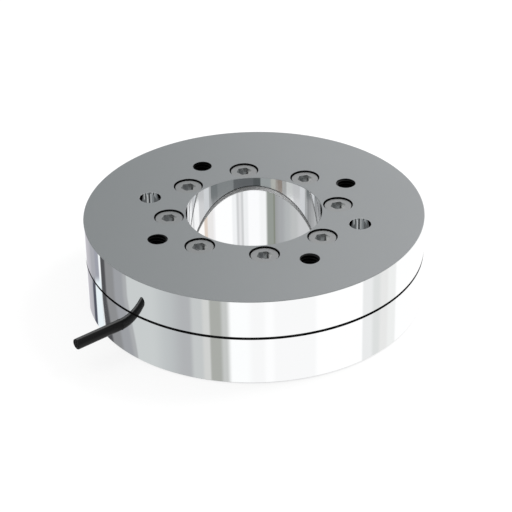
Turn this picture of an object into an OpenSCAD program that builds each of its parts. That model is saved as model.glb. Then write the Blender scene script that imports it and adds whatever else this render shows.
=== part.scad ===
// Six-axis force torque sensor for a robot wrist: a tool flange and a base housing joined by a
// cross-shaped elastic body, with strain gauges, a ring-shaped circuit board and one signal cable.
// The origin is on the bore's axis at the bottom mounting face. The two big dowel holes lie along X.

/* [Body] */
// Outer diameter of the tool flange and the base housing
body_d = 125; // [124:0.5:128]
// Height between the two mounting faces
body_h = 33.6; // [33.6:0.2:35]
// Diameter of the bore through the middle
bore_d = 50; // [46:0.5:50]
// Height of the base housing's wall
wall_h = 18.3; // [18.2:0.1:18.4]
// Height of the gap between the housing's wall and the flange's skirt
seam_h = 0.8; // [0.6:0.1:1]
// Edge chamfer of the turned parts
edge = 0.4; // [0.2:0.1:0.5]

/* [Tool flange] */
// Thickness of the flange's solid middle
flange_t = 12; // [11.6:0.1:12]
// Thickness of the flange over the electronics channel
roof_t = 3; // [2.8:0.1:3]
// Thickness of the flange's skirt
skirt_t = 4; // [3.6:0.1:4]
// Pitch circle of the tapped and dowel holes on both faces
mount_pcd = 80; // [79:0.5:81]
// Diameter of the tapped holes, cut at the core of an M8 thread
tap_d = 6.65; // [6.6:0.05:6.8]
// Depth of the flange's tapped holes
tap_depth = 9; // [8:0.5:9]
// Diameter of the dowel holes
dowel_d = 8; // [7:0.5:8]
// Depth of the dowel holes
dowel_depth = 7; // [6:0.5:7.5]
// Pitch circle of the screws that hold the flange to the elastic body
screw_pcd = 62.5; // [62:0.25:63]
// Diameter of the counterbores over those screws
counterbore_d = 11; // [10.6:0.1:11]
// Depth of those counterbores
counterbore_depth = 6.5; // [6.3:0.1:6.6]

/* [Elastic body] */
// Outer radius of the hub
hub_r = 38; // [37:0.5:38.5]
// Inner radius of the outer ring
ring_in_r = 50.4; // [50:0.2:50.6]
// Outer radius of the outer ring
ring_out_r = 59; // [58.4:0.1:59]
// Height of the outer ring
ring_h = 7.2; // [6.8:0.1:7.2]
// Width of each measuring beam
beam_w = 8; // [7:0.5:9]
// Height of each measuring beam
beam_h = 5.2; // [4.6:0.1:5.2]
// Thickness of the thin web that carries each beam's outer end
web_t = 1.6; // [1.4:0.1:1.8]
// Length of the slot behind each web
slot_l = 20; // [18:0.5:21]
// Width of that slot
slot_w = 2.4; // [2:0.1:2.6]

/* [Base housing] */
// Thickness of the base under the elastic body's ring
base_t = 11; // [11:0.1:11.2]
// Depth of the relief under the beams and the hub
relief = 1; // [0.8:0.1:1.2]
// Depth of the base's tapped holes
base_tap_depth = 7.6; // [7:0.1:7.6]
// Height of the lip at the bottom of the bore
lip_h = 1.9; // [1.6:0.1:2]

/* [Circuit board] */
// Inner radius of the ring-shaped board
board_in_r = 46.8; // [46.6:0.1:47.5]
// Outer radius of the board
board_out_r = 57.7; // [57:0.1:58]
// Thickness of the board
board_t = 1.6; // [1.2:0.1:1.6]
// Height of the spacers over the board
spacer_t = 1.2; // [1:0.1:1.4]

/* [Cable] */
// Diameter of the signal cable
cable_d = 4; // [3.9:0.1:4]
// Outer diameter of the rubber grommet behind the housing's wall
grommet_d = 6.2; // [6.1:0.1:6.3]
// Direction in which the cable leaves the housing, in degrees from +X
cable_angle = 235.5; // [235:0.5:237]

/* [Hidden] */
$fn = 96;

body_r = body_d / 2;
bore_r = bore_d / 2;
mount_r = mount_pcd / 2;
tap_r = tap_d / 2;
dowel_r = dowel_d / 2;
skirt_z = wall_h + seam_h;
flange_z = body_h - flange_t;
roof_z = body_h - roof_t;
skirt_in_r = body_r - skirt_t;
channel_in_r = 46;
drill_tip = 0.58;

tube_r = bore_r + 2;
tube_z = lip_h + 0.4;
wall_in_r = body_r - 3;
relief_z = base_t - relief;
relief_r = ring_in_r + web_t;
seal_r = bore_r + 4;

tap_angles = [45, 135, 225, 315];
dowel_angles = [0, 180];
beam_angles = [0, 90, 180, 270];
screw_angles = [for (i = [0:7]) 22.5 + 45 * i];
screw_r = screw_pcd / 2;

// M6 screws through the flange
m6_head_d = 10;
m6_head_h = 6;
m6_socket = 5;
m6_length = 14;
m6_core_r = 2.5;
m6_seat_z = body_h - counterbore_depth;

// M4 screws through the elastic body's ring
m4_head_d = 7;
m4_head_h = 4;
m4_socket = 3;
m4_length = 10;
m4_core_r = 1.65;
m4_pitch_r = 54.7;
m4_bore_d = 7.4;
m4_seat_z = base_t + 3;
ring_top_z = base_t + ring_h;

// Dowel pins, 4 mm across
pin_r = 2;
flange_pin_r = 33.2;
body_pin_r = 56.4;
body_pin_angles = [45, 225];

// Overload stops: 3 mm pins that stand in the base and pass the hub's four lugs with a gap
stop_pin_r = 1.5;
stop_gap = 0.25;
stop_pitch_r = 46.2;
lug_out_r = 49.4;
lug_w = 10;

beam_z = ring_top_z - 0.8 - beam_h;
beam_top_z = beam_z + beam_h;
fillet_r = 1.5;

// Circuit board, hung under the flange's roof
board_top_z = roof_z - spacer_t;
board_z = board_top_z - board_t;
board_screw_r = 55.4;
board_screw_angles = [15, 75, 135, 195, 255, 315];
m2_core_r = 0.8;
m2_head_r = 1.9;
m2_head_h = 1.3;
m2_length = 4.8;
plug_angle = 244;
plug_r = 52.5;
plug_face = -4.6;
plug_z = board_z - 2.1;

gauge_t = 0.3;
gauge_l = 3.4;
gauge_w = 2.4;
gauge_in_r = 39.6;
flex_w = 5;
flex_bend_r = 3;
flex_up_r = 49;

// The signal cable's route before its turn to cable_angle: level and straight out through the wall
cable_z = 10.6;
cable_route = [
  [47.5, 0, cable_z], [54.5, 0, cable_z], [61.5, 0, cable_z],
  [68, 0, cable_z], [75, 0, cable_z], [81.6, 0, cable_z]
];
groove_in_r = 46;
grommet_in_r = 53;
grommet_out_r = wall_in_r + 0.8;
ferrule_d = 5.6;
ferrule_l = 3.4;
core_r = 0.35;
core_n = 4;
core_row = 0.74;
core_end_gap = 0.3;
core_pitch = 1.2;
core_steps = 12;

// ---- Tools -------------------------------------------------------------------------------

// Children at a radius, once for each angle of a list
module around(angles, r = 0)
  for (a = angles) rotate(a) translate([r, 0, 0]) children();

// Children on the cable's axis, at a distance from the bore's axis and with their +Z along the cable
module along_cable(r)
  rotate(cable_angle) translate([r, 0, cable_z]) rotate([0, 90, 0]) children();

// A ring between two radii
module ring(r_in, r_out, h)
  difference() {
    cylinder(r = r_out, h = h);
    translate([0, 0, -1]) cylinder(r = r_in, h = h + 2);
  }

// A blind hole drilled down from z = 0, with a chamfered mouth and a drill's cone at its end
module blind_hole(r, depth, mouth = 0.3, cone = true)
  union() {
    translate([0, 0, -depth]) cylinder(r = r, h = depth + 1, $fn = 48);
    if (cone) translate([0, 0, -depth - r * drill_tip])
      cylinder(r1 = 0, r2 = r, h = r * drill_tip, $fn = 48);
    translate([0, 0, -mouth]) cylinder(r1 = r, r2 = r + mouth + 1, h = mouth + 1, $fn = 48);
  }

// A socket-head cap screw, its head's underside at z = 0 and its thread cut at core size
module cap_screw(head_d, head_h, socket, d, core, plain, length)
  difference() {
    union() {
      cylinder(d = head_d, h = head_h - 0.5, $fn = 48);
      translate([0, 0, head_h - 0.5])
        cylinder(d1 = head_d, d2 = head_d - 0.8, h = 0.5, $fn = 48);
      translate([0, 0, -plain]) cylinder(d = d, h = plain, $fn = 32);
      translate([0, 0, -length]) cylinder(r = core, h = length - plain + 0.1, $fn = 32);
    }
    translate([0, 0, head_h - socket * 0.6]) cylinder(d = socket / cos(30), h = head_h, $fn = 6);
  }

// A tube of n sides swept along points: each ring of points lies across the route there, turned
// about it by a direction that the route never takes
function unit(v) = v / norm(v);
function heading(p, i) = unit(p[min(i + 1, len(p) - 1)] - p[max(i - 1, 0)]);
function side(h, up) = unit(cross(h, up));
function sweep_points(p, r, n, up) = [
  for (i = [0:len(p) - 1])
    let (h = heading(p, i), s = side(h, up), u = cross(s, h))
    for (k = [0:n - 1]) p[i] + r * (cos(360 * k / n) * s + sin(360 * k / n) * u)
];
module sweep(p, r, n, up = [0, 0, 1]) {
  last = (len(p) - 1) * n;
  polyhedron(
    points = sweep_points(p, r, n, up),
    faces = concat(
      [[for (k = [n - 1:-1:0]) k]],
      [for (i = [0:len(p) - 2]) for (k = [0:n - 1])
        [i * n + k, i * n + (k + 1) % n, (i + 1) * n + (k + 1) % n, (i + 1) * n + k]],
      [[for (k = [0:n - 1]) last + k]]
    ),
    convexity = 6
  );
}

// A point turned about Z, a point on a cubic curve and a point on one of the cable's cores
function spin(v, a) = [v[0] * cos(a) - v[1] * sin(a), v[0] * sin(a) + v[1] * cos(a), v[2]];
function curve(p, t) =
  pow(1 - t, 3) * p[0] + 3 * t * pow(1 - t, 2) * p[1] + 3 * t * t * (1 - t) * p[2] + pow(t, 3) * p[3];
function core_at(k, t) =
  let (
    aside = k - (core_n - 1) / 2,
    start_r = cable_route[0][0] - core_end_gap,
    start = [start_r, aside * core_row, cable_z],
    inward = [start_r - 6, aside * core_row * 1.75, cable_z + 3],
    across = plug_r + aside * core_pitch,
    end = [across, plug_face - core_end_gap, plug_z],
    before = [across, plug_face - core_end_gap - 7, plug_z]
  )
  curve([
    spin(start, cable_angle), spin(inward, cable_angle),
    spin(before, plug_angle), spin(end, plug_angle)
  ], t);

// ---- Main bodies -------------------------------------------------------------------------

// The turned section of the tool flange: skirt, roof over the channel, solid middle, bore tube
module flange_profile()
  polygon([
    [bore_r, tube_z], [bore_r, body_h - edge], [bore_r + edge, body_h],
    [body_r - edge, body_h], [body_r, body_h - edge], [body_r, skirt_z],
    [skirt_in_r, skirt_z], [skirt_in_r, roof_z], [channel_in_r, roof_z],
    [channel_in_r, flange_z], [tube_r, flange_z], [tube_r, tube_z]
  ]);

module top_flange()
  color("#a3a7a8")
  difference() {
    rotate_extrude() flange_profile();
    around(tap_angles, mount_r) translate([0, 0, body_h]) blind_hole(tap_r, tap_depth);
    around(dowel_angles, mount_r)
      translate([0, 0, body_h]) blind_hole(dowel_r, dowel_depth, cone = false);
    around(screw_angles, screw_r) {
      translate([0, 0, m6_seat_z]) cylinder(d = counterbore_d, h = body_h, $fn = 64);
      translate([0, 0, flange_z - 1]) cylinder(d = 6.6, h = body_h, $fn = 48);
    }
    around(dowel_angles, flange_pin_r)
      translate([0, 0, flange_z - 1]) cylinder(r = pin_r, h = 5, $fn = 32);
    around(board_screw_angles, board_screw_r)
      translate([0, 0, roof_z - 1]) cylinder(r = m2_core_r, h = 1 + 2.2, $fn = 24);
  }

// One measuring beam with filleted roots, from the hub out to the thin web
module beam()
  translate([0, 0, beam_z]) {
    translate([hub_r - 1, -beam_w / 2, 0]) cube([ring_in_r - hub_r + 2, beam_w, beam_h]);
    for (side = [-1, 1]) {
      root_fillet(hub_r - 0.4, side, 1);
      root_fillet(ring_in_r + 0.2, side, -1);
    }
  }

// The fillet where a beam's flank meets the hub (dir = 1) or the ring (dir = -1)
module root_fillet(x, side, dir)
  difference() {
    translate([dir > 0 ? x - 1 : x - fillet_r, side > 0 ? beam_w / 2 - 0.5 : -beam_w / 2 - fillet_r, 0])
      cube([fillet_r + 1, fillet_r + 0.5, beam_h]);
    translate([x + dir * fillet_r, side * (beam_w / 2 + fillet_r), -1])
      cylinder(r = fillet_r, h = beam_h + 2, $fn = 32);
  }

// One diagonal lug of the hub, with the clearance hole that an overload stop passes
module stop_lug()
  translate([0, 0, base_t])
  difference() {
    intersection() {
      translate([hub_r - 2, -lug_w / 2, 0]) cube([lug_out_r, lug_w, ring_h]);
      cylinder(r = lug_out_r, h = ring_h);
    }
    translate([stop_pitch_r, 0, -1]) cylinder(r = stop_pin_r + stop_gap, h = ring_h + 2, $fn = 32);
  }

// The slot behind a beam's outer end, which leaves the thin web
module web_slot()
  translate([relief_r, 0, base_t - 1]) {
    translate([0, -slot_l / 2, 0]) cube([slot_w, slot_l, ring_h + 2]);
    for (side = [-1, 1])
      translate([slot_w / 2, side * slot_l / 2, 0]) cylinder(d = slot_w, h = ring_h + 2, $fn = 32);
  }

// Hub, four beams on thin webs and the outer ring, machined from one block. The ring has a notch
// underneath for the cable.
module elastic_body()
  color("#c9ccd0")
  difference() {
    union() {
      translate([0, 0, base_t]) ring(tube_r + 0.4, hub_r, flange_z - base_t);
      translate([0, 0, base_t]) ring(ring_in_r, ring_out_r, ring_h);
      around(beam_angles) beam();
      around(tap_angles) stop_lug();
    }
    around(beam_angles) web_slot();
    around(screw_angles, screw_r)
      translate([0, 0, base_t - 1]) cylinder(r = m6_core_r, h = body_h, $fn = 32);
    around(screw_angles, m4_pitch_r) {
      translate([0, 0, m4_seat_z]) cylinder(d = m4_bore_d, h = ring_h, $fn = 48);
      translate([0, 0, base_t - 1]) cylinder(d = 4.4, h = ring_h, $fn = 32);
    }
    around(dowel_angles, flange_pin_r)
      translate([0, 0, flange_z - 6]) cylinder(r = pin_r, h = 7, $fn = 32);
    around(body_pin_angles, body_pin_r)
      translate([0, 0, base_t - 1]) cylinder(r = pin_r, h = 5, $fn = 32);
    along_cable(groove_in_r) cylinder(d = grommet_d, h = body_r - groove_in_r, $fn = 48);
  }

// The turned section of the base housing: base plate, outer wall, seal pocket and bore lip
module housing_profile()
  polygon([
    [bore_r + edge, 0], [body_r - edge, 0], [body_r, edge], [body_r, wall_h],
    [wall_in_r, wall_h], [wall_in_r, base_t], [relief_r, base_t], [relief_r, relief_z],
    [seal_r, relief_z], [seal_r, lip_h], [bore_r, lip_h], [bore_r, edge]
  ]);

module base_housing()
  color("#c4c7ca")
  difference() {
    rotate_extrude() housing_profile();
    around(tap_angles, mount_r) mirror([0, 0, 1]) blind_hole(tap_r, base_tap_depth);
    around(dowel_angles, mount_r) mirror([0, 0, 1]) blind_hole(dowel_r, dowel_depth, cone = false);
    around(screw_angles, m4_pitch_r)
      translate([0, 0, m4_seat_z - m4_length - 1]) cylinder(r = m4_core_r, h = base_t, $fn = 32);
    around(body_pin_angles, body_pin_r)
      translate([0, 0, base_t - 5]) cylinder(r = pin_r, h = 6, $fn = 32);
    around(tap_angles, stop_pitch_r)
      translate([0, 0, relief_z - 6]) cylinder(r = stop_pin_r, h = 8, $fn = 32);
    along_cable(groove_in_r)
      cylinder(d = grommet_d, h = grommet_out_r - groove_in_r, $fn = 48);
    along_cable(wall_in_r) cylinder(d = cable_d + 0.2, h = 2 * (body_r - wall_in_r), $fn = 48);
  }

// ---- Fasteners, pins and seals -----------------------------------------------------------

module flange_screws()
  color("#b0b3b5")
  around(screw_angles, screw_r) translate([0, 0, m6_seat_z])
    cap_screw(m6_head_d, m6_head_h, m6_socket, 6, m6_core_r, m6_seat_z - flange_z - 0.2, m6_length);

module body_screws()
  color("#b0b3b5")
  around(screw_angles, m4_pitch_r) translate([0, 0, m4_seat_z])
    cap_screw(m4_head_d, m4_head_h, m4_socket, 4, m4_core_r, m4_seat_z - base_t - 0.2, m4_length);

module flange_dowels()
  color("#d5d7d9")
  around(dowel_angles, flange_pin_r)
    translate([0, 0, flange_z - 6]) cylinder(r = pin_r, h = 9.5, $fn = 32);

module body_dowels()
  color("#d5d7d9")
  around(body_pin_angles, body_pin_r)
    translate([0, 0, base_t - 5]) cylinder(r = pin_r, h = 9, $fn = 32);

module stop_pins()
  color("#d5d7d9")
  around(tap_angles, stop_pitch_r) translate([0, 0, relief_z - 6])
    cylinder(r = stop_pin_r, h = 6 + relief + ring_h - 0.5, $fn = 32);

// Soft ring that closes the seam between housing and skirt
module seam_seal()
  color("#1b1b1c")
  translate([0, 0, wall_h]) ring(wall_in_r + 0.4, body_r - 0.5, seam_h);

// Two-lipped ring between the flange's bore tube and the housing
module bore_seal()
  color("#1b1b1c")
  rotate_extrude()
  polygon([
    [tube_r, 4], [tube_r, 4.8], [tube_r + 0.6, 6], [tube_r, 7.2], [tube_r, 8],
    [seal_r, 8], [seal_r, 7.2], [seal_r - 0.6, 6], [seal_r, 4.8], [seal_r, 4]
  ]);

// ---- Electronics -------------------------------------------------------------------------

module circuit_board()
  color("#1f6b43")
  difference() {
    translate([0, 0, board_z]) ring(board_in_r, board_out_r, board_t);
    around(board_screw_angles, board_screw_r)
      translate([0, 0, board_z - 1]) cylinder(r = 1.1, h = board_t + 2, $fn = 24);
  }

module board_spacers()
  color("#d8c27a")
  around(board_screw_angles, board_screw_r) translate([0, 0, board_top_z])
    difference() {
      cylinder(r = 2, h = spacer_t, $fn = 32);
      translate([0, 0, -1]) cylinder(r = 1.1, h = spacer_t + 2, $fn = 24);
    }

module board_screws()
  color("#b0b3b5")
  around(board_screw_angles, board_screw_r) translate([0, 0, board_z]) mirror([0, 0, 1])
    cap_screw(m2_head_r * 2, m2_head_h, 1.5, 2, m2_core_r, board_t + spacer_t - 0.2, m2_length);

// A chip package hung under the board, with a slightly smaller step on its lower face
module chip(l, w, h)
  translate([-l / 2, -w / 2, board_z - h]) {
    cube([l, w, h]);
    translate([l * 0.06, w * 0.06, -0.15]) cube([l * 0.88, w * 0.88, 0.2]);
  }

module amplifier_chips()
  color("#262729")
  around([30, 60, 105, 150, 210, 335], 52) chip(6, 5, 1.5);

module processor_chip()
  color("#2a2b2e")
  around([164], 52) chip(7, 7, 1.2);

module regulator_chip()
  color("#303235")
  around([298], 52) chip(4.4, 6.4, 2);

// Shrouded header under the board, its mouth facing the cable along the channel
module board_header()
  color("#ece9df")
  around([plug_angle], plug_r)
  translate([-3.5, -2, board_z - 4.2])
  difference() {
    cube([7, 6, 4.2]);
    translate([0.6, -1, 0.6]) cube([5.8, 5.5, 3]);
  }

// Crimp housing that fills the header's mouth
module board_plug()
  color("#f4f2ea")
  around([plug_angle], plug_r)
  translate([-2.9, plug_face, board_z - 3.6])
    cube([5.8, 2.5 - plug_face, 3]);

// Four gauges on each beam: on top, underneath and on both flanks
module strain_gauges()
  color("#d9a441")
  around(beam_angles) {
    for (z = [beam_top_z, beam_z - gauge_t])
      translate([gauge_in_r, -gauge_w / 2, z]) cube([gauge_l, gauge_w, gauge_t]);
    for (y = [beam_w / 2, -beam_w / 2 - gauge_t])
      translate([gauge_in_r, y, beam_z + (beam_h - gauge_w) / 2]) cube([gauge_l, gauge_t, gauge_w]);
  }

// A flexible strip in the radial plane: along the beam's top, round a bend, up to the board
module gauge_flexes()
  color("#c77b2c")
  around(beam_angles) {
    bend_x = flex_up_r - flex_bend_r;
    bend_z = beam_top_z + flex_bend_r;
    start_x = gauge_in_r + gauge_l;
    translate([0, flex_w / 2, 0]) rotate([90, 0, 0]) linear_extrude(flex_w) {
      translate([start_x, beam_top_z]) square([bend_x - start_x, gauge_t]);
      translate([bend_x, bend_z]) intersection() {
        difference() {
          circle(r = flex_bend_r);
          circle(r = flex_bend_r - gauge_t);
        }
        translate([0, -flex_bend_r]) square(flex_bend_r);
      }
      translate([flex_up_r - gauge_t, bend_z]) square([gauge_t, board_z - bend_z]);
    }
  }

// ---- Cable -------------------------------------------------------------------------------

module cable()
  color("#18181a")
  rotate(cable_angle) sweep(cable_route, cable_d / 2, 8);

// Grommet that fills the groove under the ring, between the wall's hole and the ferrule
module cable_grommet()
  color("#141415")
  along_cable(grommet_in_r)
  difference() {
    cylinder(d = grommet_d, h = grommet_out_r - grommet_in_r, $fn = 48);
    translate([0, 0, -1]) cylinder(d = cable_d, h = grommet_out_r, $fn = 48);
  }

// Metal sleeve crimped on the cable behind the grommet, so that it can't be pulled out
module crimp_ferrule()
  color("#c8b070")
  along_cable(grommet_in_r - ferrule_l)
  difference() {
    cylinder(d = ferrule_d, h = ferrule_l, $fn = 48);
    translate([0, 0, -1]) cylinder(d = cable_d, h = ferrule_l + 2, $fn = 48);
  }

// The cable's cores: they leave the end of the jacket in a row and curve up and round to the plug
module cable_cores()
  for (k = [0:core_n - 1])
    color(["#c03028", "#e8e4da", "#2f6fb5", "#2c2c2e"][k])
    sweep(
      [for (i = [0:core_steps]) core_at(k, i / core_steps)],
      core_r, 6, up = spin([0, 1, -1], plug_angle)
    );

top_flange();
elastic_body();
base_housing();
flange_screws();
body_screws();
flange_dowels();
body_dowels();
stop_pins();
seam_seal();
bore_seal();
circuit_board();
board_spacers();
board_screws();
amplifier_chips();
processor_chip();
regulator_chip();
board_header();
board_plug();
strain_gauges();
gauge_flexes();
cable();
cable_grommet();
crimp_ferrule();
cable_cores();
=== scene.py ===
import math

import bpy
from mathutils import Matrix, Vector


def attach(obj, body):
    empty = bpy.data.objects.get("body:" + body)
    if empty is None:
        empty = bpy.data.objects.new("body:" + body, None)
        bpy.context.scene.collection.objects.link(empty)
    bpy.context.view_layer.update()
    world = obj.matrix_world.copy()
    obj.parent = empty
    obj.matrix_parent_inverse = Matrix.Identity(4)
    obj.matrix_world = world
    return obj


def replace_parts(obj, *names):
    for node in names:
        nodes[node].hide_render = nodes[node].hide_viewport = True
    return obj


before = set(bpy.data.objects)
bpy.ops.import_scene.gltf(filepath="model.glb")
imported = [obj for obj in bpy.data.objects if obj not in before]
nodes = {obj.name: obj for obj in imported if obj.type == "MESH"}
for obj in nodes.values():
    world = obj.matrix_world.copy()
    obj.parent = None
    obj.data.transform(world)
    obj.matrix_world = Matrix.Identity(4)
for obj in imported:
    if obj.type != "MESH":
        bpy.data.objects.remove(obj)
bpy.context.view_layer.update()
mm = 0.001
print("frame loaded:", len(nodes), "nodes")


# a long lens from the front right, a little above
view = {
    "lens": 136.15,  # on a 36 mm sensor
    "turn": 16.04,  # degrees from the front
    "tiltDown": 31.2,
    "roll": -1.03,
    "away": 616.6,  # mm in front of the axis
    "aside": 0.49,
    "above": 387.5,  # mm over the floor
}


def makeCamera():
    data = bpy.data.cameras.new("camera")
    data.lens = view["lens"]
    data.sensor_width = 36
    data.clip_start = 0.01
    data.clip_end = 50
    camera = bpy.data.objects.new("camera", data)
    bpy.context.collection.objects.link(camera)
    turn = Matrix.Rotation(math.radians(view["turn"]), 4, "Z")
    tilt = Matrix.Rotation(math.radians(90 - view["tiltDown"]), 4, "X")
    roll = Matrix.Rotation(math.radians(view["roll"]), 4, "Z")
    place = turn @ Vector((view["aside"], -view["away"], view["above"])) * mm
    camera.matrix_world = Matrix.Translation(place) @ turn @ tilt @ roll
    bpy.context.scene.camera = camera


makeCamera()
print("camera placed")


# tools that build node trees

def addNode(tree, kind, inputs=None, **settings):
    node = tree.nodes.new(kind)
    for name, value in settings.items():
        setattr(node, name, value)
    for name, value in (inputs or {}).items():
        if isinstance(value, bpy.types.NodeSocket):
            tree.links.new(value, node.inputs[name])
        else:
            node.inputs[name].default_value = value
    return node


def addMath(tree, operation, first, second=0.0):
    return addNode(tree, "ShaderNodeMath", {0: first, 1: second}, operation=operation).outputs[0]


def product(tree, first, *others):
    for other in others:
        first = addMath(tree, "MULTIPLY", first, other)
    return first


def vector(tree, **parts):
    return addNode(tree, "ShaderNodeCombineXYZ", parts).outputs[0]


def placeOf(tree):
    place = addNode(tree, "GeometryNodeInputPosition").outputs[0]
    return addNode(tree, "ShaderNodeSeparateXYZ", {0: place}).outputs


def awaySquared(tree, place):
    return addMath(tree, "ADD", *(addMath(tree, "POWER", place[axis], 2.0) for axis in "XY"))


def ramp(tree, value, start, end, smooth=True):
    # from 0 at start to 1 at end
    kind = "SMOOTHSTEP" if smooth else "LINEAR"
    inputs = {"Value": value, "From Min": start, "From Max": end}
    return addNode(tree, "ShaderNodeMapRange", inputs, interpolation_type=kind).outputs[0]


def newTree(name, values):
    # its inputs are named and typed after the values that a piece gives it
    tree = bpy.data.node_groups.new(name, "GeometryNodeTree")
    kinds = {int: "NodeSocketInt", float: "NodeSocketFloat",
             bpy.types.Material: "NodeSocketMaterial", bpy.types.Object: "NodeSocketObject"}
    tree.interface.new_socket("Geometry", in_out="INPUT", socket_type="NodeSocketGeometry")
    for label, value in values.items():
        tree.interface.new_socket(label, in_out="INPUT", socket_type=kinds[type(value)])
    tree.interface.new_socket("Geometry", in_out="OUTPUT", socket_type="NodeSocketGeometry")
    return tree, tree.nodes.new("NodeGroupInput").outputs, tree.nodes.new("NodeGroupOutput").inputs[0]


def runTree(thing, tree, values):
    # sets each input by its identifier, then keeps the result as a plain mesh
    modifier = thing.modifiers.new(tree.name, "NODES")
    modifier.node_group = tree
    for item in tree.interface.items_tree:
        if item.in_out == "INPUT" and item.name in values:
            modifier[item.identifier] = values[item.name]
    graph = bpy.context.evaluated_depsgraph_get()
    mesh = bpy.data.meshes.new_from_object(thing.evaluated_get(graph))
    thing.modifiers.clear()
    for slot in reversed(range(len(mesh.materials))):
        if not mesh.materials[slot]:
            mesh.materials.pop(index=slot)
    mesh.name = thing.name
    thing.data = mesh
    return thing


def newObject(name, mesh):
    thing = bpy.data.objects.new(name, mesh)
    bpy.context.collection.objects.link(thing)
    return thing


def outline(name, points, closed=True):
    # a line of (radius, height) points in mm, laid flat for the revolve
    mesh = bpy.data.meshes.new(name)
    edges = [(i, i + 1) for i in range(len(points) - 1)]
    if closed:
        edges.append((len(points) - 1, 0))
    mesh.from_pydata([(x * mm, -z * mm, 0) for x, z in points], edges, [])
    return newObject(name, mesh)


def revolve(tree, geometry, segments):
    # the section runs round a circle of 1 mm, drawn in by the same 1 mm
    line = addNode(tree, "GeometryNodeMeshToCurve", {"Mesh": geometry}).outputs[0]
    section = moved(tree, line, Translation=(-mm, 0, 0))
    path = addNode(tree, "GeometryNodeCurvePrimitiveCircle", {
        "Resolution": segments, "Radius": mm}).outputs[0]
    shape = addNode(tree, "GeometryNodeCurveToMesh", {"Curve": path, "Profile Curve": section}).outputs[0]
    return addNode(tree, "GeometryNodeMergeByDistance", {"Geometry": shape, "Distance": 1e-7}).outputs[0]


def outlineOf(tree, thing):
    return addNode(tree, "GeometryNodeObjectInfo", {"Object": thing}).outputs["Geometry"]


def moved(tree, geometry, **place):
    return addNode(tree, "GeometryNodeTransform", {"Geometry": geometry, **place}).outputs[0]


def realized(tree, geometry):
    return addNode(tree, "GeometryNodeRealizeInstances", {"Geometry": geometry}).outputs[0]


def around(tree, shape, count, first, radius, height=0.0, turned=None):
    # copies on a circle, each one facing outwards, or all turned alike by some degrees
    angle = addMath(tree, "MULTIPLY", addNode(tree, "GeometryNodeInputIndex").outputs[0], 2 * math.pi)
    angle = addMath(tree, "ADD", addMath(tree, "DIVIDE", angle, count), addMath(tree, "RADIANS", first))
    across = addMath(tree, "MULTIPLY", addMath(tree, "COSINE", angle), radius)
    along = addMath(tree, "MULTIPLY", addMath(tree, "SINE", angle), radius)
    place = vector(tree, X=across, Y=along, Z=height)
    points = addNode(tree, "GeometryNodePoints", {"Count": count, "Position": place}).outputs[0]
    turn = vector(tree, Z=angle if turned is None else math.radians(turned))
    rotation = addNode(tree, "FunctionNodeEulerToRotation", {"Euler": turn}).outputs[0]
    return realized(tree, addNode(tree, "GeometryNodeInstanceOnPoints", {
        "Points": points, "Instance": shape, "Rotation": rotation}).outputs[0])


def combine(tree, operation, first, *others):
    name = "Mesh 1" if operation == "DIFFERENCE" else "Mesh 2"
    node = addNode(tree, "GeometryNodeMeshBoolean", {name: first}, operation=operation, solver="MANIFOLD")
    for other in others:
        tree.links.new(other, node.inputs["Mesh 2"])
    return node.outputs[0]


def sharpen(tree, geometry, degrees=30):
    # smooth walls, with each real edge kept sharp
    angle = addNode(tree, "GeometryNodeInputMeshEdgeAngle").outputs[0]
    sharp = addMath(tree, "GREATER_THAN", angle, math.radians(degrees))
    smooth = addNode(tree, "GeometryNodeSetShadeSmooth", {
        "Geometry": geometry, "Shade Smooth": True}, domain="FACE").outputs[0]
    return addNode(tree, "GeometryNodeSetShadeSmooth", {
        "Geometry": smooth, "Selection": sharp, "Shade Smooth": False}, domain="EDGE").outputs[0]


def painted(tree, geometry, material, selection=True):
    return addNode(tree, "GeometryNodeSetMaterial", {
        "Geometry": geometry, "Material": material, "Selection": selection}).outputs[0]


tooth = {
    "foot": 0.86, "tip": 0.12,  # its widths, times the pitch
    "steps": 40,  # to a turn
    "thinEnd": 0.05,  # how thin the ridge runs out, times its full size
}


def thread(tree, root, crest, pitch, length, bottom):
    # a right-hand ridge from the height bottom up, run out to nothing at both ends
    turns = addMath(tree, "DIVIDE", length, pitch)
    spiral = addNode(tree, "GeometryNodeCurveSpiral", {
        "Resolution": tooth["steps"], "Rotations": turns, "Start Radius": root,
        "End Radius": root, "Height": length, "Reverse": True}).outputs[0]
    spiral = addNode(tree, "GeometryNodeSetCurveNormal", {"Curve": spiral}, mode="Z_UP").outputs[0]
    depth = addMath(tree, "SUBTRACT", crest, root)
    foot = addMath(tree, "MULTIPLY", pitch, tooth["foot"])
    tip = addMath(tree, "MULTIPLY", pitch, tooth["tip"])
    section = addNode(tree, "GeometryNodeCurvePrimitiveQuadrilateral", {
        "Height": depth, "Bottom Width": foot, "Top Width": tip, "Offset": 0.0}, mode="TRAPEZOID").outputs[0]
    half = vector(tree, X=addMath(tree, "MULTIPLY", depth, 0.5))
    section = moved(tree, section, Rotation=(0, 0, -math.pi / 2), Translation=half)
    place = addNode(tree, "GeometryNodeSplineParameter").outputs["Factor"]
    fromEnd = addMath(tree, "MINIMUM", place, addMath(tree, "SUBTRACT", 1.0, place))
    grow = product(tree, fromEnd, turns, 2.0)
    grow = addMath(tree, "MAXIMUM", addMath(tree, "MINIMUM", grow, 1.0), tooth["thinEnd"])
    ridge = addNode(tree, "GeometryNodeCurveToMesh", {
        "Curve": spiral, "Profile Curve": section, "Scale": grow, "Fill Caps": True}).outputs[0]
    return moved(tree, ridge, Translation=vector(tree, Z=bottom))


# tools that build materials

def newMaterial(name, **principled):
    material = bpy.data.materials.new(name)
    material.use_nodes = True
    shader = material.node_tree.nodes["Principled BSDF"]
    for label, value in principled.items():
        shader.inputs[label.replace("_", " ")].default_value = value
    return material, material.node_tree, shader


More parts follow.
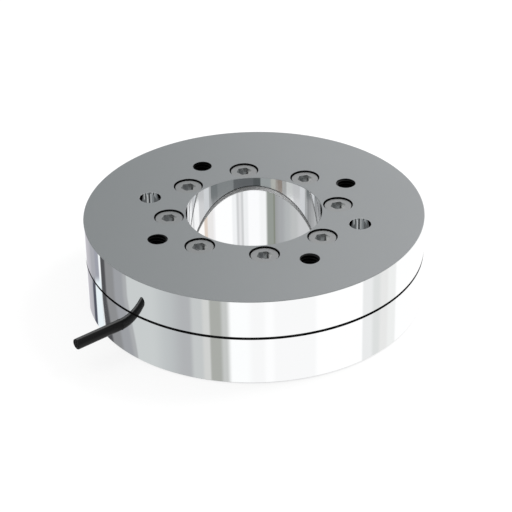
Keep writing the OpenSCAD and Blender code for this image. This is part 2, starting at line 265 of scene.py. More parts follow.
def noiseOn(tree, scale, stretch=(1, 1, 1), detail=3.0):
    place = addNode(tree, "ShaderNodeTexCoord").outputs["Object"]
    place = addNode(tree, "ShaderNodeMapping", {"Vector": place, "Scale": stretch}).outputs[0]
    return addNode(tree, "ShaderNodeTexNoise", {"Vector": place, "Scale": scale, "Detail": detail}).outputs[0]


def spread(tree, value, low, high):
    inputs = {"Value": value, "From Min": 0.3, "From Max": 0.7, "To Min": low, "To Max": high}
    return addNode(tree, "ShaderNodeMapRange", inputs).outputs[0]


def mixed(tree, factor, first, second):
    # colours are sockets or three numbers
    first, second = (c if isinstance(c, bpy.types.NodeSocket) else (*c, 1) for c in (first, second))
    return addNode(tree, "ShaderNodeMix", {0: factor, 6: first, 7: second}, data_type="RGBA").outputs[2]


def bumpFrom(tree, shader, value, depth):
    bump = addNode(tree, "ShaderNodeBump", {"Height": value, "Distance": depth, "Strength": 1.0})
    tree.links.new(bump.outputs[0], shader.inputs["Normal"])


def makePolish(name, colour, rough):
    material, tree, shader = newMaterial(name, Base_Color=(*colour, 1), Metallic=1.0)
    haze = noiseOn(tree, 60, (1, 1, 0.4))
    tree.links.new(spread(tree, haze, *rough), shader.inputs["Roughness"])
    return material


def makeGrained(name, light, dark, rough, grain, depth, metallic=1.0, cloud=25, specular=0.5):
    # grain and cloud are cells to the metre
    material, tree, shader = newMaterial(name, Metallic=metallic, Specular_IOR_Level=specular)
    tree.links.new(mixed(tree, noiseOn(tree, cloud), dark, light), shader.inputs["Base Color"])
    fine = noiseOn(tree, grain, detail=2.0)
    tree.links.new(spread(tree, fine, *rough), shader.inputs["Roughness"])
    bumpFrom(tree, shader, fine, depth)
    return material


def grey(value, warm=0.0):
    return value * (1 + warm), value, value * (1 - warm)


jacketLook = {
    "light": grey(0.004), "dark": grey(0.002), "rough": (0.26, 0.32), "specular": 0.22,
    "top": grey(0.115),  # a painted highlight: the paler line along the top, where light from above falls on it
    "topFrom": 0.93,  # how far up a face points where that line starts
}


def makeJacket():
    look = jacketLook
    material = makeGrained("cableJacket", look["light"], look["dark"], look["rough"], 1500, 4e-6, 0.0,
                           specular=look["specular"])
    tree = material.node_tree
    colour = tree.nodes["Principled BSDF"].inputs["Base Color"]
    # the faces that point up are painted paler, as a highlight from above
    normal = addNode(tree, "ShaderNodeTexCoord").outputs["Normal"]
    up = addNode(tree, "ShaderNodeSeparateXYZ", {0: normal}).outputs["Z"]
    paintedHighlight = ramp(tree, up, look["topFrom"], 1.0)
    tree.links.new(mixed(tree, paintedHighlight, colour.links[0].from_socket, look["top"]), colour)
    return material


polish = makePolish("mirrorPolish", (0.95, 0.955, 0.96), (0.015, 0.035))
satin = makeGrained("satinFace", (0.447, 0.457, 0.463), (0.43, 0.44, 0.446), (0.34, 0.42), 9000, 1e-6)
lipSatin = makeGrained("lipSatin", grey(0.52), grey(0.48), (0.45, 0.55), 6000, 1e-6, 0.0)
# near black: painted shade in the seam, the counterbores and the cable's hole
pocketShade = makeGrained("pocketShade", grey(0.004), grey(0.002), (0.6, 0.7), 4000, 4e-6, 0.0, specular=0.1)
# dark: painted shade in the tapped holes
tapShade = makeGrained("tapShade", grey(0.03), grey(0.015), (0.3, 0.42), 4000, 4e-6)
screwSteel = makeGrained("screwSteel", grey(0.455), grey(0.43), (0.34, 0.42), 6000, 2e-6)
# the sockets' inside, painted brighter than the screws' steel as light inside them
socketSteel = makeGrained("socketSteel", grey(0.9), grey(0.84), (0.1, 0.16), 6000, 1e-6)
rubber = makeGrained("sealRubber", grey(0.006), grey(0.004), (0.7, 0.8), 3000, 1e-5, 0.0, specular=0.15)
jacketBlack = makeJacket()
jacketFill = makeGrained("cableFill", grey(0.02), grey(0.012), (0.5, 0.6), 3000, 1e-5, 0.0)
print("materials ready")


# the signal cable, level and straight out of the base housing; its route is the CAD tube's, in metres
cable = {
    "route": [(0.0475, 0, 0.0106), (0.0545, 0, 0.0106), (0.0615, 0, 0.0106),
              (0.068, 0, 0.0106), (0.075, 0, 0.0106), (0.0816, 0, 0.0106)],
    "turn": 235.5,  # degrees from +X
    "out": 0.0625,  # from the bore's axis to the wall that it comes out of
    "diameter": 4.0,
    "jacket": 0.5,
    "roundedEnd": 0.2,
    "recess": 0.3,
    "cores": 4,
    "coreRadius": 0.45,
    "coreCircle": 0.78,
}


def makeCable():
    turn = Matrix.Rotation(math.radians(cable["turn"]), 3, "Z")
    route = [turn @ Vector(p) for p in cable["route"]]
    radius = cable["diameter"] / 2
    inside = radius - cable["jacket"]
    rounded = cable["roundedEnd"]
    first, last = cable["route"][0][0] / mm, cable["route"][-1][0] / mm
    bottom = last - cable["recess"]
    # the jacket's section, from the recessed end round to the cut inside the housing
    section = [(0, bottom), (inside, bottom), (inside, last - rounded / 2), (inside + rounded / 2, last),
               (radius - rounded, last), (radius - rounded * 0.3, last - rounded * 0.3),
               (radius, last - rounded), (radius, first), (0, first)]
    values = {"Cores": cable["cores"], "Core Radius": cable["coreRadius"] * mm,
              "Core Circle": cable["coreCircle"] * mm, "Recess": cable["recess"] * mm,
              "Turn": math.radians(cable["turn"]), "Height": cable["route"][0][2], "End": last * mm,
              "Jacket": jacketBlack, "Fill": jacketFill}
    tree, given, result = newTree("cable", values)
    jacket = revolve(tree, given["Geometry"], 40)
    place = placeOf(tree)
    isNear = addMath(tree, "LESS_THAN", awaySquared(tree, place), (inside * mm) ** 2 * 0.9)
    inCut = product(tree, isNear, addMath(tree, "GREATER_THAN", place["Z"], (first + 1) * mm))
    jacket = painted(tree, painted(tree, jacket, given["Jacket"]), given["Fill"], inCut)
    core = addNode(tree, "GeometryNodeMeshCylinder", {
        "Vertices": 16, "Radius": given["Core Radius"], "Depth": given["Recess"]}).outputs[0]
    height = addMath(tree, "SUBTRACT", given["End"], addMath(tree, "MULTIPLY", given["Recess"], 0.7))
    cores = around(tree, core, given["Cores"], 45, given["Core Circle"], height)
    whole = addNode(tree, "GeometryNodeJoinGeometry")
    tree.links.new(jacket, whole.inputs[0])
    tree.links.new(painted(tree, cores, given["Jacket"]), whole.inputs[0])
    # laid along +X, then turned to the cable's direction
    laid = moved(tree, whole.outputs[0], Rotation=(0, math.pi / 2, 0))
    aim, rise = vector(tree, Z=given["Turn"]), vector(tree, Z=given["Height"])
    laid = moved(tree, laid, Rotation=aim, Translation=rise)
    tree.links.new(sharpen(tree, realized(tree, laid)), result)
    return runTree(outline("signalCable", section, closed=False), tree, values), route


signalCable, cableRoute = makeCable()
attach(signalCable, "root")
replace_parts(signalCable, "cable")
wayOut = cableRoute[0] * (cable["out"] / cable["route"][0][0])
wayOut.z = cableRoute[0].z
print("signal cable made")


# the two turned bodies: a section to revolve, then its drilled holes; sizes in mm
tap = {
    "core": 3.325, "crest": 4.0, "pitch": 1.25, "circle": 40.0, "first": 45.0, "count": 4,
    "mouth": 0.05, "sides": 48,
    "tip": 0.58,  # the drilled tip, times the core
    "plain": 1.0,  # without a thread, at the bottom
    "sunk": 0.1,  # how far the ridge reaches into its hole
    "over": 2.0,  # how far it runs out of the mouth
}
dowelHole = {
    "radius": 4.0, "depth": 7.0, "circle": 40.0, "first": 0.0, "count": 2,
    "mouth": 0.04, "sides": 96,
}
# the other holes: the wall from the top down, its sides and finish, and the holes' places on their circle
topFlange = {
    "segments": 384,
    "height": 33.6,
    "outline": [(25, 2.3), (25, 33.45), (25.15, 33.6), (62.3, 33.6), (62.5, 33.4), (62.5, 19.22),
                (62.38, 19.1), (58.5, 19.1), (58.5, 30.6), (46, 30.6), (46, 21.6), (27, 21.6), (27, 2.3)],
    "tapDepth": 9.0,
    "drilled": {
        # the counterbores' walls take the near-black painted shade
        "counterbore": {"wall": [(5.5, 2), (5.5, -6.5), (3.3, -6.5), (3.3, -13)], "sides": 80,
                        "look": "Pocket", "count": 8, "first": 22.5, "circle": 31.25},
        "pinDrill": {"wall": [(2, -8), (2, -13)], "sides": 32,
                     "look": "Face", "count": 2, "first": 0.0, "circle": 33.2},
        "boardDrill": {"wall": [(0.8, -0.8), (0.8, -4)], "sides": 16,
                       "look": "Face", "count": 6, "first": 15.0, "circle": 55.4},
    },
}
baseHousing = {
    "segments": 384,
    "outline": [(25, 0.3), (25, 1.9), (29, 1.9), (29, 10), (52, 10), (52, 11), (59.5, 11), (59.5, 18.3),
                (62.38, 18.3), (62.5, 18.18), (62.5, 0.4), (62.1, 0), (25.3, 0)],
    "tapDepth": 7.6,
    "drilled": {
        "screwDrill": {"wall": [(1.65, 12), (1.65, 3)], "sides": 24,
                       "look": "Face", "count": 8, "first": 22.5, "circle": 54.7},
        "pinDrill": {"wall": [(2, 12), (2, 6)], "sides": 32,
                     "look": "Face", "count": 2, "first": 45.0, "circle": 56.4},
        "stopDrill": {"wall": [(1.5, 12), (1.5, 4)], "sides": 32,
                      "look": "Face", "count": 4, "first": 45.0, "circle": 46.2},
    },
    "cableBore": [(2.1, 66), (2.1, 60.3), (3.1, 60.3), (3.1, 46)],  # distances along the cable
}
# where the two bodies' finish changes
marks = {
    "wallRadii": (25, 62.5),
    "inside": 25.5, "outside": 61.5,  # upright faces within and beyond are polished
    "lipTop": 2.0,  # below it the bore's wall is a satin lip
    "seam": 18.7, "seamReach": 0.52, "seamInside": 58.0,  # the seam's two lips, painted dark as shade
}


def drill(tree, name, wall, segments, material, helpers, tip=0.0):
    # a cutter turned from its wall's (radius, height) points, from the top down
    points = [(0, wall[0][1]), *wall, (0, wall[-1][1] - tip)]
    helper = outline(name, points, closed=False)
    helpers.append(helper)
    shape = revolve(tree, outlineOf(tree, helper), segments)
    return painted(tree, shape, material)


def mouthed(radius, depth, mouth, above=2):
    # a hole's wall, with a chamfered mouth at height 0
    return [(radius + mouth + above, above), (radius, -mouth), (radius, -depth)]


def drilledHoles(tree, given, sizes, helpers, height=0.0):
    cutters = []
    for name, hole in sizes["drilled"].items():
        cutter = drill(tree, name, hole["wall"], hole["sides"], given[hole["look"]], helpers)
        cutters.append(around(tree, cutter, hole["count"], hole["first"], hole["circle"] * mm, height))
    return cutters


def tappedHole(tree, given, depth, helpers):
    hole = drill(tree, "tapDrill", mouthed(tap["core"], depth, tap["mouth"]), tap["sides"],
                 given["Thread"], helpers, tip=tap["tip"] * tap["core"])
    threaded = depth - tap["plain"]
    ridge = thread(tree, (tap["core"] - tap["sunk"]) * mm, tap["crest"] * mm, tap["pitch"] * mm,
                   (threaded + tap["over"]) * mm, -threaded * mm)
    return combine(tree, "UNION", hole, painted(tree, ridge, given["Thread"]))


def facePattern(tree, given, depth, helpers, height=0.0, rotation=(0, 0, 0)):
    # the tapped holes and dowel holes of a mounting face
    cutters = []
    wall = mouthed(dowelHole["radius"], dowelHole["depth"], dowelHole["mouth"])
    smooth = drill(tree, "dowelDrill", wall, dowelHole["sides"], given["Wall"], helpers)
    for hole, cutter in ((tap, tappedHole(tree, given, depth, helpers)), (dowelHole, smooth)):
        cutter = moved(tree, cutter, Rotation=rotation)
        cutters.append(around(tree, cutter, hole["count"], hole["first"], hole["circle"] * mm, height))
    return cutters


def turnedParts(tree):
    # picks the upright faces of the bore and the outer wall, the bore's bottom lip and the seam's two lips
    place = placeOf(tree)
    height = place["Z"]
    away = addMath(tree, "SQRT", awaySquared(tree, place))
    normal = addNode(tree, "GeometryNodeInputNormal").outputs[0]
    up = addMath(tree, "ABSOLUTE", addNode(tree, "ShaderNodeSeparateXYZ", {0: normal}).outputs["Z"])
    isOuter = addMath(tree, "GREATER_THAN", away, marks["outside"] * mm)
    isInner = addMath(tree, "LESS_THAN", away, marks["inside"] * mm)
    upright = addMath(tree, "LESS_THAN", up, 0.5)
    walls = product(tree, upright, addMath(tree, "ADD", isOuter, isInner))
    bottomLip = product(tree, upright, isInner, addMath(tree, "LESS_THAN", height, marks["lipTop"] * mm))
    inSeam = addMath(tree, "COMPARE", height, marks["seam"] * mm)
    inSeam.node.inputs[2].default_value = marks["seamReach"] * mm
    isRim = addMath(tree, "GREATER_THAN", away, marks["seamInside"] * mm)
    lips = product(tree, inSeam, isRim, addMath(tree, "GREATER_THAN", up, 0.5))
    return walls, bottomLip, lips


def roundWalls(thing):
    # true cylinder normals, so that the polished walls mirror without facets
    mesh = thing.data
    near = 0.02 * mm
    normals = []
    for face in mesh.polygons:
        upright = abs(face.normal.z) < 0.05
        for corner in face.loop_indices:
            place = mesh.vertices[mesh.loops[corner].vertex_index].co
            flat = Vector((place.x, place.y, 0))
            onWall = upright and any(abs(flat.length - r * mm) < near for r in marks["wallRadii"])
            outwards = flat.normalized() if onWall else Vector()
            normals.append(outwards if outwards.dot(face.normal) > 0 else -outwards)
    mesh.normals_split_custom_set(normals)


def finishTurned(name, sizes, tree, given, result, values, body, cutters, helpers):
    body = combine(tree, "DIFFERENCE", body, *cutters)
    body = realized(tree, sharpen(tree, body))
    walls, bottomLip, lips = turnedParts(tree)
    # the seam's lips take the near-black painted shade
    body = painted(tree, painted(tree, body, given["Wall"], walls), given["Pocket"], lips)
    if "Lip" in values:
        body = painted(tree, body, given["Lip"], bottomLip)
    tree.links.new(body, result)
    thing = runTree(outline(name, sizes["outline"]), tree, values)
    for helper in helpers:
        bpy.data.objects.remove(helper)
    roundWalls(thing)
    return thing


def makeTopFlange():
    values = {"Segments": topFlange["segments"], "Face": satin, "Wall": polish,
              "Pocket": pocketShade, "Thread": tapShade}
    tree, given, result = newTree("topFlange", values)
    helpers = []
    body = painted(tree, revolve(tree, given["Geometry"], given["Segments"]), given["Face"])
    top = topFlange["height"] * mm
    cutters = facePattern(tree, given, topFlange["tapDepth"], helpers, top)
    cutters += drilledHoles(tree, given, topFlange, helpers, top)
    return finishTurned("toolFlange", topFlange, tree, given, result, values, body, cutters, helpers)


def makeBaseHousing():
    values = {"Segments": baseHousing["segments"], "Face": satin, "Wall": polish,
              "Pocket": pocketShade, "Thread": tapShade, "Lip": lipSatin}
    tree, given, result = newTree("baseHousing", values)
    helpers = []
    body = painted(tree, revolve(tree, given["Geometry"], given["Segments"]), given["Face"])
    cutters = facePattern(tree, given, baseHousing["tapDepth"], helpers, rotation=(math.pi, 0, 0))
    cutters += drilledHoles(tree, given, baseHousing, helpers)
    # the cable's hole takes the near-black painted shade
    cableBore = drill(tree, "cableDrill", baseHousing["cableBore"], 48, given["Pocket"], helpers)
    cableBore = moved(tree, cableBore, Rotation=(0, math.pi / 2, 0))
    cutters.append(around(tree, cableBore, 1, cable["turn"], 0.0, cable["route"][0][2]))
    return finishTurned("baseHousing", baseHousing, tree, given, result, values, body, cutters, helpers)


for thing, node, slot in ((makeTopFlange(), "top_flange", "satin_aluminium"),
                          (makeBaseHousing(), "base_housing", "polished_housing")):
    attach(thing, "root")
    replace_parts(thing, node)
    print(thing.name, "turned and drilled:", len(thing.data.polygons), "faces")


# cap screws: head up from height 0, shank and thread down; sizes in mm
flangeScrew = {
    "head": 5.0, "headHeight": 6.0, "edge": 0.12, "socket": 5.0, "socketDepth": 3.0,
    "shank": 3.0, "plain": 5.3, "core": 2.5, "pitch": 1.0, "length": 14.0,
    "count": 8, "first": 22.5, "circle": 31.25, "seat": 27.1, "turned": 0.0,
}
bodyScrew = {
    "head": 3.5, "headHeight": 4.0, "edge": 0.35, "socket": 3.0, "socketDepth": 2.0,
    "shank": 2.0, "plain": 2.8, "core": 1.65, "pitch": 0.7, "length": 10.0,
    "count": 8, "first": 22.5, "circle": 54.7, "seat": 14.0, "turned": 0.0,
}
boardScrew = {
    "head": 1.9, "headHeight": 1.3, "edge": 0.2, "socket": 1.5, "socketDepth": 0.7,
    "shank": 1.0, "plain": 2.6, "core": 0.8, "pitch": 0.4, "length": 4.8,
    "count": 6, "first": 15.0, "circle": 55.4, "seat": 27.8, "turned": math.pi,
}
socketTurn = 30  # degrees: all the sockets stand alike
bevel = {
    "underHead": 0.1, "shoulder": 0.2, "end": 0.4,
    "broken": 0.3,  # the middle point of the head's edge, times the edge's size
}
ridgeFit = {"clear": 0.1, "sunk": 0.08}  # free of the thread at each end, and its foot inside the shank


def makeScrews(name, screw):
    lengths = {"Socket": "socket", "Socket Depth": "socketDepth", "Head Height": "headHeight", "Core": "core",
               "Crest": "shank", "Pitch": "pitch", "Plain": "plain", "Length": "length",
               "Circle": "circle", "Seat": "seat"}
    values = {label: screw[key] * mm for label, key in lengths.items()}
    values.update({"Count": screw["count"], "First": screw["first"], "Turned": screw["turned"],
                   "Metal": screwSteel, "Inside": socketSteel})
    tree, given, result = newTree(name, values)
    blank = revolve(tree, given["Geometry"], 64)
    ridgeLength = addMath(tree, "SUBTRACT", given["Length"], given["Plain"])
    ridgeLength = addMath(tree, "SUBTRACT", ridgeLength, 2 * ridgeFit["clear"] * mm)
    bottom = addMath(tree, "SUBTRACT", ridgeFit["clear"] * mm, given["Length"])
    root = addMath(tree, "SUBTRACT", given["Core"], ridgeFit["sunk"] * mm)
    ridge = thread(tree, root, given["Crest"], given["Pitch"], ridgeLength, bottom)
    blank = combine(tree, "UNION", blank, ridge)
    # the hex socket
    corner = addMath(tree, "DIVIDE", given["Socket"], 2 * math.cos(math.radians(30)))
    deep = addMath(tree, "SUBTRACT", given["Head Height"], given["Socket Depth"])
    middle = vector(tree, Z=addMath(tree, "ADD", deep, given["Socket Depth"]))
    twice = addMath(tree, "MULTIPLY", given["Socket Depth"], 2.0)
    hexagon = addNode(tree, "GeometryNodeMeshCylinder", {
        "Vertices": 6, "Radius": corner, "Depth": twice}).outputs[0]
    blank = combine(tree, "DIFFERENCE", blank, moved(tree, hexagon, Translation=middle))
    place = placeOf(tree)
    isNear = addMath(tree, "LESS_THAN", awaySquared(tree, place), addMath(tree, "POWER", corner, 2.0))
    near = 0.02 * mm
    overBottom = addMath(tree, "GREATER_THAN", place["Z"], addMath(tree, "SUBTRACT", deep, near))
    rim = addMath(tree, "SUBTRACT", given["Head Height"], near)
    inSocket = product(tree, isNear, overBottom, addMath(tree, "LESS_THAN", place["Z"], rim))
    # the socket's inside gets the brighter steel, a painted light
    blank = painted(tree, painted(tree, blank, given["Metal"]), given["Inside"], inSocket)
    blank = moved(tree, blank, Rotation=vector(tree, X=given["Turned"]))
    placed = around(tree, blank, given["Count"], given["First"], given["Circle"], given["Seat"], socketTurn)
    tree.links.new(sharpen(tree, placed, degrees=15), result)
    head, top, edge = screw["head"], screw["headHeight"], screw["edge"]
    shank, core, plain, length = screw["shank"], screw["core"], screw["plain"], screw["length"]
    broken = edge * bevel["broken"]
    points = [(0, top), (head - edge, top), (head - broken, top - broken), (head, top - edge),
              (head, bevel["underHead"]), (head - bevel["underHead"], 0),
              (shank, 0), (shank, -plain + bevel["shoulder"]), (core, -plain),
              (core, -length + bevel["end"]), (core - bevel["end"], -length), (0, -length)]
    thing = runTree(outline(name, points, closed=False), tree, values)
    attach(thing, "root")
    print(name, "made:", len(thing.data.polygons), "faces")
    return thing


for name, screw, node in (("flangeScrews", flangeScrew, "flange_screws"),
                          ("bodyScrews", bodyScrew, "body_screws"),
                          ("boardScrews", boardScrew, "board_screws")):
    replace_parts(makeScrews(name, screw), node)


# finishes for the pieces that keep their CAD shape
alloy = makeGrained("machinedAlloy", grey(0.62), grey(0.56), (0.25, 0.34), 5000, 2e-6)
groundSteel = makeGrained("groundSteel", grey(0.66), grey(0.6), (0.12, 0.2), 7000, 5e-7)
brass = makeGrained("spacerBrass", (0.66, 0.5, 0.22), (0.6, 0.44, 0.18), (0.25, 0.35), 5000, 1e-6)
chipBlack = makeGrained("chipBlack", grey(0.035), grey(0.025), (0.5, 0.65), 9000, 2e-6, 0.0)
cream = makeGrained("connectorCream", (0.72, 0.68, 0.58), (0.68, 0.64, 0.54), (0.35, 0.45), 6000, 1e-6, 0.0)
coreRed = makeGrained("coreInsulation", (0.42, 0.05, 0.04), (0.36, 0.04, 0.03), (0.3, 0.4), 6000, 1e-6, 0.0)


def makeBoardGreen():
    # solder mask with slightly raised copper tracks under it
    material, tree, shader = newMaterial("boardGreen", Roughness=0.32)
    place = addNode(tree, "ShaderNodeTexCoord").outputs["Object"]
    cells = addNode(tree, "ShaderNodeTexVoronoi", {"Vector": place, "Scale": 420.0, "Randomness": 0.9},
                    feature="DISTANCE_TO_EDGE", distance="EUCLIDEAN").outputs["Distance"]
    track = addNode(tree, "ShaderNodeMapRange", {
        "Value": cells, "From Min": 0.06, "From Max": 0.1, "To Min": 1.0, "To Max": 0.0}).outputs[0]
    mask = mixed(tree, track, (0.012, 0.14, 0.065), (0.02, 0.22, 0.1))
    tree.links.new(mask, shader.inputs["Base Color"])
    bumpFrom(tree, shader, track, 3e-5)
    return material


def makeGaugeFilm():
    # amber film over a fine metal grid
    material, tree, shader = newMaterial("gaugeFilm", Roughness=0.28)
    place = addNode(tree, "ShaderNodeTexCoord").outputs["Object"]
    lines = addNode(tree, "ShaderNodeTexWave", {"Vector": place, "Scale": 700.0, "Distortion": 0.0},
                    wave_type="BANDS", bands_direction="DIAGONAL").outputs["Fac"]
    tree.links.new(mixed(tree, lines, (0.5, 0.2, 0.03), (0.32, 0.13, 0.03)), shader.inputs["Base Color"])
    return material


dress = {
    alloy: ["elastic_body"],
    groundSteel: ["flange_dowels", "body_dowels", "stop_pins"],
    rubber: ["seam_seal", "bore_seal", "cable_grommet"],
    makeBoardGreen(): ["circuit_board"],
    brass: ["board_spacers", "crimp_ferrule"],
    chipBlack: ["amplifier_chips", "processor_chip", "regulator_chip"],
    cream: ["board_header", "board_plug"],
    makeGaugeFilm(): ["strain_gauges", "gauge_flexes"],
    coreRed: ["cable_cores"],
    jacketBlack: ["cable"],
    satin: ["top_flange"],
    polish: ["base_housing"],
    screwSteel: ["flange_screws", "body_screws", "board_screws"],
}
for material, names in dress.items():
    for name in names:
        for holder in nodes[name].material_slots:
            holder.material = material
print("CAD pieces dressed")


# the studio: white all round, with grey cards that stand in the polished walls
def shade(red, green, blue):
    # a screen colour from 0 to 255, as light
    parts = (c / 255 for c in (red, green, blue))
    return tuple(c / 12.92 if c < 0.0404 else ((c + 0.055) / 1.055) ** 2.4 for c in parts)


studio = {
    # going round from behind by the left: start in degrees, softness, colour
    "cards": [
        (-180, 1, (256, 256, 258)), (-163, 3, (196, 194, 200)), (-154, 2, (188, 187, 193)),
        (-148, 3, (172, 173, 179)), (-138, 2, (160, 162, 172)), (-130, 1.5, (252, 255, 257)),
        (-126, 1, (84, 84, 87)), (-118, 1.5, (144, 145, 147)), (-107, 2, (160, 162, 166)),
        (-97, 2, (174, 176, 178)), (-93, 1, (204, 208, 208)), (-68, 8, (192, 196, 197)),
        (-56, 7, (180, 182, 184)), (-44, 2, (200, 203, 203)), (-36, 1.5, (213, 214, 212)),
        (-31, 1, (173, 175, 170)), (-23, 1.5, (200, 202, 200)), (-18, 2, (258, 259, 259)),
        (-4, 3, (253, 253, 253)), (6, 2, (259, 259, 259)), (12, 2, (254, 254, 254)),
        (41, 2, (261, 261, 261)), (77, 1, (239, 240, 240)), (86, 2, (226, 228, 227)),
        (93, 2, (236, 236, 235)), (101, 2, (243, 244, 243)), (110, 1.5, (260, 260, 260)),
    ],
    # lower down at the left, from the first of these edges to the last
    "lowCards": [(-146, 1, (84, 86, 98)), (-139.5, 1, (238, 246, 250)), (-128, 1, (84, 84, 87))],
    # how the cards at the left lean: degrees of shift at two heights of the light, from and to some degrees
    "lean": {"low": -0.562, "high": -0.5335, "atLow": -5.5, "atHigh": 3.5,
             "from": (-134, -122), "to": (-75, -90)},
    # what the bore shows of them
    "boreCards": [
        (-180, 1, (204, 205, 206)), (-82, 6, (192, 194, 194)), (-66, 6, (182, 185, 186)),
        (-54, 6, (170, 172, 174)), (-42, 5, (159, 161, 161)), (-37, 1, (136, 140, 130)),
        (-34, 1, (151, 156, 150)), (-22, 2.5, (249, 250, 250)), (-10, 3, (257, 257, 258)),
        (10, 2, (243, 244, 245)), (18, 1.2, (211, 212, 213)), (22, 1.2, (232, 232, 233)),
        (26, 1.2, (212, 213, 214)), (30, 1.5, (246, 247, 248)), (38, 2, (260, 260, 260)),
        (71, 2, (246, 245, 246)), (75, 2, (238, 236, 235)), (88, 1.5, (226, 212, 200)),
        (96, 1.5, (258, 256, 254)),
    ],
    # what a second mirror wall shows
    "innerCards": [
        (-180, 1, (97, 100, 102)), (-112, 2, (131, 135, 136)), (-52, 4, (117, 122, 123)),
        (-24, 2, (174, 176, 177)), (-16, 2, (214, 216, 218)), (8, 3, (198, 199, 200)),
        (40, 4, (203, 205, 204)), (64, 2, (168, 169, 168)), (80, 2, (143, 133, 125)),
        (96, 2, (158, 153, 147)), (104, 2, (181, 182, 176)), (120, 2, (155, 160, 160)),
        (156, 2, (84, 88, 89)),
    ],
    # and what it shows at the bore's two sides
    "besideCards": [
        (-180, 1, (97, 100, 102)), (-140, 4, (172, 173, 174)), (-100, 3, (182, 183, 184)),
        (-68, 3, (172, 173, 174)), (-52, 3, (162, 163, 164)), (-38, 2, (150, 151, 152)),
        (-29, 1, (174, 176, 177)), (-16, 2, (214, 216, 218)), (8, 3, (216, 216, 217)),
        (36, 4, (256, 256, 256)), (68, 2, (226, 226, 226)), (80, 2, (250, 250, 249)),
        (104, 3, (200, 200, 198)), (126, 3, (155, 160, 160)), (156, 2, (84, 88, 89)),
    ],
    # what a small hole shows
    "holeCards": [
        (-180, 1, (92, 94, 95)), (-116, 3, (119, 123, 123)), (-46, 3, (165, 167, 167)),
        (8, 3, (57, 59, 59)), (61, 3, (184, 186, 186)), (112, 3, (94, 96, 96)),
    ],
    # what the upward faces show
    "upperCards": [(-180, 1, (175, 180, 181)), (-130, 20, (200, 202, 203)), (100, 40, (245, 246, 247))],
    # the light's height, as the upward part of its direction, over which a set of cards takes over
    "heights": {
        "lowCards": (-0.5235, -0.5275), "besideCards": (-0.492, -0.4935), "upperCards": (-0.08, 0.12),
    },
    # how many mirrors a ray has met, where a set takes over
    "mirrors": {"innerCards": 1.5, "holeCards": 3.5},
    "soft": 0.8,  # what lights the dull pieces
}


def cardsRound(tree, angle, name, colour=None):
    # one colour after another, round the studio or onto what is there
    cards = studio[name]
    if colour is None:
        colour = shade(*cards[0][2])
        cards = cards[1:]
    for start, soft, card in cards:
        colour = mixed(tree, ramp(tree, angle, start - soft, start + soft), colour, shade(*card))
    return colour


def leaning(tree, angle, height):
    # the cards at the left lean over
    lean = studio["lean"]
    start = ramp(tree, angle, *lean["from"], smooth=False)
    end = ramp(tree, angle, *lean["to"], smooth=False)
    shift = addNode(tree, "ShaderNodeMapRange", {
        "Value": height, "From Min": lean["low"], "From Max": lean["high"],
        "To Min": lean["atLow"], "To Max": lean["atHigh"]}).outputs[0]
    return addMath(tree, "ADD", angle, product(tree, shift, start, end))


def makeWorld():
    world = bpy.data.worlds.new("studio")
    bpy.context.scene.world = world
    world.use_nodes = True
    tree = world.node_tree
    ray = addNode(tree, "ShaderNodeLightPath").outputs
    aim = addNode(tree, "ShaderNodeTexCoord").outputs["Generated"]
    aim = addNode(tree, "ShaderNodeVectorRotate", {
        "Vector": aim, "Angle": math.radians(-view["turn"])}, rotation_type="Z_AXIS").outputs[0]
    parts = addNode(tree, "ShaderNodeSeparateXYZ", {0: aim}).outputs
    angle = addMath(tree, "ARCTAN2", parts["X"], addMath(tree, "MULTIPLY", parts["Y"], -1.0))
    angle = addMath(tree, "DEGREES", angle)
    reached = {name: ramp(tree, parts["Z"], *heights) for name, heights in studio["heights"].items()}
    met = {name: addMath(tree, "GREATER_THAN", ray["Glossy Depth"], times)
           for name, times in studio["mirrors"].items()}
    # the outer wall
    colour = cardsRound(tree, leaning(tree, angle, parts["Z"]), "cards")
    low = product(tree, reached["lowCards"], addMath(tree, "LESS_THAN", angle, studio["lowCards"][-1][0]))
    colour = mixed(tree, low, colour, cardsRound(tree, angle, "lowCards", colour))
    # the bore, told by the clear glass under it, and the upward faces
    underBore = addMath(tree, "GREATER_THAN", ray["Transparent Depth"], 0.5)
    colour = mixed(tree, underBore, colour, cardsRound(tree, angle, "boreCards"))
    colour = mixed(tree, reached["upperCards"], colour, cardsRound(tree, angle, "upperCards"))
    # what reaches the eye over a second mirror, or out of a small hole
    within = cardsRound(tree, angle, "innerCards")
    within = mixed(tree, reached["besideCards"], within, cardsRound(tree, angle, "besideCards"))
    colour = mixed(tree, met["innerCards"], colour, within)
    inHole = product(tree, met["holeCards"], addMath(tree, "SUBTRACT", 1.0, underBore))
    colour = mixed(tree, inHole, colour, cardsRound(tree, angle, "holeCards"))
    colour = mixed(tree, ray["Is Glossy Ray"], (studio["soft"],) * 3, colour)
    colour = mixed(tree, ray["Is Camera Ray"], colour, (1, 1, 1))
    tree.links.new(colour, tree.nodes["Background"].inputs["Color"])


floorLook = {
    "size": 4.0,
    "below": 0.2,  # mm
    "white": 0.8,
    "glow": 1.08,
    "shadow": 0.3,  # how much of the real shadow shows
}


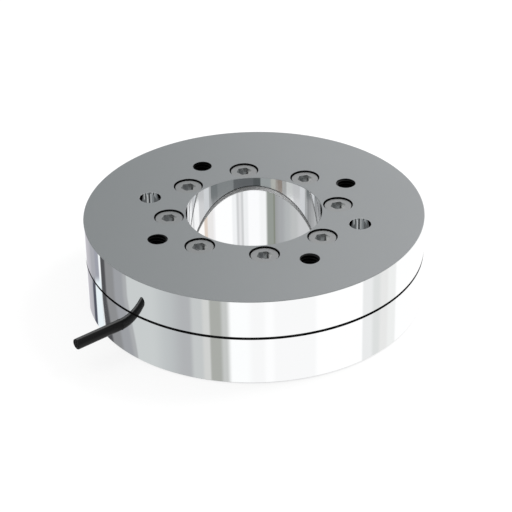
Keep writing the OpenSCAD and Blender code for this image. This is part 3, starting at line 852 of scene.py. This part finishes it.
def makeFloor():
    mesh = bpy.data.meshes.new("floor")
    half = floorLook["size"] / 2
    corners = [(-half, -half, 0), (half, -half, 0), (half, half, 0), (-half, half, 0)]
    mesh.from_pydata(corners, [], [(0, 1, 2, 3)])
    mesh.transform(Matrix.Translation((0, 0, -floorLook["below"] * mm)))
    floor = newObject("floor", mesh)
    white = (*grey(floorLook["white"]), 1)
    material, tree, shader = newMaterial("paleFloor", Base_Color=white, Roughness=0.9)
    glow = {"Color": (1, 1, 1, 1), "Strength": floorLook["glow"]}
    glow = addNode(tree, "ShaderNodeEmission", glow).outputs[0]
    direct = addNode(tree, "ShaderNodeLightPath").outputs["Is Camera Ray"]
    seen = addMath(tree, "MULTIPLY", direct, 1 - floorLook["shadow"])
    mix = addNode(tree, "ShaderNodeMixShader", {0: seen, 1: shader.outputs[0], 2: glow})
    tree.links.new(mix.outputs[0], tree.nodes["Material Output"].inputs["Surface"])
    mesh.materials.append(material)
    floor.visible_glossy = False


glassDisc = {"radius": 25.5, "below": 0.1, "sides": 60}


def makeBoreGlass():
    # clear glass under the bore: the studio's light tells by it which reflections come out of the bore
    mesh = bpy.data.meshes.new("boreGlass")
    sides = range(glassDisc["sides"])
    corner = Vector((glassDisc["radius"], 0, -glassDisc["below"])) * mm
    turns = (Matrix.Rotation(2 * math.pi * i / len(sides), 3, "Z") for i in sides)
    mesh.from_pydata([turn @ corner for turn in turns], [], [tuple(sides)])
    glass = newObject("boreGlass", mesh)
    material, tree, shader = newMaterial("clearGlass")
    clear = addNode(tree, "ShaderNodeBsdfTransparent").outputs[0]
    tree.links.new(clear, tree.nodes["Material Output"].inputs["Surface"])
    mesh.materials.append(material)
    glass.visible_camera = False


lamps = {
    "key": {"place": (0.55, 0.5, 0.75), "size": 0.5, "power": 7.0},
    "fill": {"place": (-0.7, -0.4, 0.9), "size": 0.9, "power": 4.0},
}


def makeLamp(name, lamp):
    data = bpy.data.lights.new(name, "AREA")
    data.size = lamp["size"]
    data.energy = lamp["power"]
    holder = bpy.data.objects.new(name, data)
    bpy.context.collection.objects.link(holder)
    holder.location = lamp["place"]
    holder.rotation_euler = (-Vector(lamp["place"])).to_track_quat("-Z", "Y").to_euler()
    holder.visible_glossy = False  # the cards stand for it in the polished walls


makeWorld()
makeFloor()
makeBoreGlass()
for name, lamp in lamps.items():
    makeLamp(name, lamp)
bpy.context.scene.view_settings.view_transform = "Standard"
print("studio lit")
